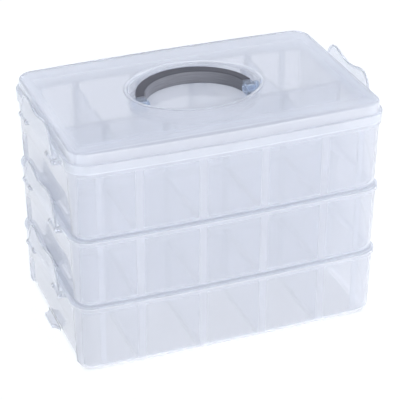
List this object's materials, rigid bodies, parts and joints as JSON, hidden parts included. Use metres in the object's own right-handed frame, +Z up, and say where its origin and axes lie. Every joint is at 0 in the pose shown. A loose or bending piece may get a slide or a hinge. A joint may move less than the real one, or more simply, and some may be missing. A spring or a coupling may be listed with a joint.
{
  "type": "sewing box with trays",
  "caption": "Frosted stacking craft and sewing box: deep divided trays clipped one on another by end latches, under a lid with a fold-down grey handle.",
  "frame": {"origin": "middle of the footprint, on the face that the bottom tray stands on", "axes": "+Z up; +X along the long side, to the right from the front; +Y from the front to the back, the way the handle folds"},
  "size_m": [0.3216, 0.201, 0.2375],
  "materials": {
    "frosted": "frosted translucent polypropylene, cool white",
    "latch_frosted": "smoother translucent polypropylene",
    "divider_clear": "clear, slightly milky",
    "clear_plastic": "clear, glossy",
    "grip_grey": "slate grey, fine satin grain"
  },
  "bodies": {
    "bottom_tray": {"bottom_tray": "frosted", "bottom_divider_front_1": "divider_clear", "bottom_divider_front_2": "divider_clear", "bottom_divider_front_3": "divider_clear", "bottom_divider_front_4": "divider_clear", "bottom_divider_back_1": "divider_clear", "bottom_divider_back_2": "divider_clear", "bottom_divider_back_3": "divider_clear", "bottom_divider_back_4": "divider_clear"},
    "middle_tray": {"middle_tray": "frosted", "middle_divider_front_1": "divider_clear", "middle_divider_front_2": "divider_clear", "middle_divider_front_3": "divider_clear", "middle_divider_front_4": "divider_clear", "middle_divider_back_1": "divider_clear", "middle_divider_back_2": "divider_clear", "middle_divider_back_3": "divider_clear", "middle_divider_back_4": "divider_clear"},
    "top_tray": {"top_tray": "frosted", "top_divider_front_1": "divider_clear", "top_divider_front_2": "divider_clear", "top_divider_front_3": "divider_clear", "top_divider_front_4": "divider_clear", "top_divider_back_1": "divider_clear", "top_divider_back_2": "divider_clear", "top_divider_back_3": "divider_clear", "top_divider_back_4": "divider_clear"},
    "lid": {"lid": "frosted", "handle_pin_left": "clear_plastic", "handle_pin_right": "clear_plastic"},
    "handle": {"handle_frame": "clear_plastic", "handle_grip": "grip_grey"},
    "bottom_latch_left": {"bottom_latch_left": "latch_frosted"},
    "bottom_latch_right": {"bottom_latch_right": "latch_frosted"},
    "middle_latch_left": {"middle_latch_left": "latch_frosted"},
    "middle_latch_right": {"middle_latch_right": "latch_frosted"},
    "top_latch_left": {"top_latch_left": "latch_frosted"},
    "top_latch_right": {"top_latch_right": "latch_frosted"}
  },
  "joints": [
    {"name": "middle_tray_lift", "type": "slide", "parent": "bottom_tray", "child": "middle_tray", "axis": [0, 0, 1], "range_m": [0, 0.08]},
    {"name": "top_tray_lift", "type": "slide", "parent": "middle_tray", "child": "top_tray", "axis": [0, 0, 1], "range_m": [0, 0.08]},
    {"name": "lid_lift", "type": "slide", "parent": "top_tray", "child": "lid", "axis": [0, 0, 1], "range_m": [0, 0.08]},
    {"name": "handle_fold", "type": "hinge", "parent": "lid", "child": "handle", "pos_m": [0, 0, 0.222], "axis": [1, 0, 0], "range_deg": [0, 95]},
    {"name": "bottom_latch_left_hinge", "type": "hinge", "parent": "bottom_tray", "child": "bottom_latch_left", "pos_m": [-0.1578, 0, 0.0665], "axis": [0, -1, 0], "range_deg": [0, 110]},
    {"name": "bottom_latch_right_hinge", "type": "hinge", "parent": "bottom_tray", "child": "bottom_latch_right", "pos_m": [0.1578, 0, 0.0665], "axis": [0, 1, 0], "range_deg": [0, 110]},
    {"name": "middle_latch_left_hinge", "type": "hinge", "parent": "middle_tray", "child": "middle_latch_left", "pos_m": [-0.1578, 0, 0.137], "axis": [0, -1, 0], "range_deg": [0, 110]},
    {"name": "middle_latch_right_hinge", "type": "hinge", "parent": "middle_tray", "child": "middle_latch_right", "pos_m": [0.1578, 0, 0.137], "axis": [0, 1, 0], "range_deg": [0, 110]},
    {"name": "top_latch_left_hinge", "type": "hinge", "parent": "top_tray", "child": "top_latch_left", "pos_m": [-0.1578, 0, 0.2075], "axis": [0, -1, 0], "range_deg": [0, 110]},
    {"name": "top_latch_right_hinge", "type": "hinge", "parent": "top_tray", "child": "top_latch_right", "pos_m": [0.1578, 0, 0.2075], "axis": [0, 1, 0], "range_deg": [0, 110]}
  ]
}
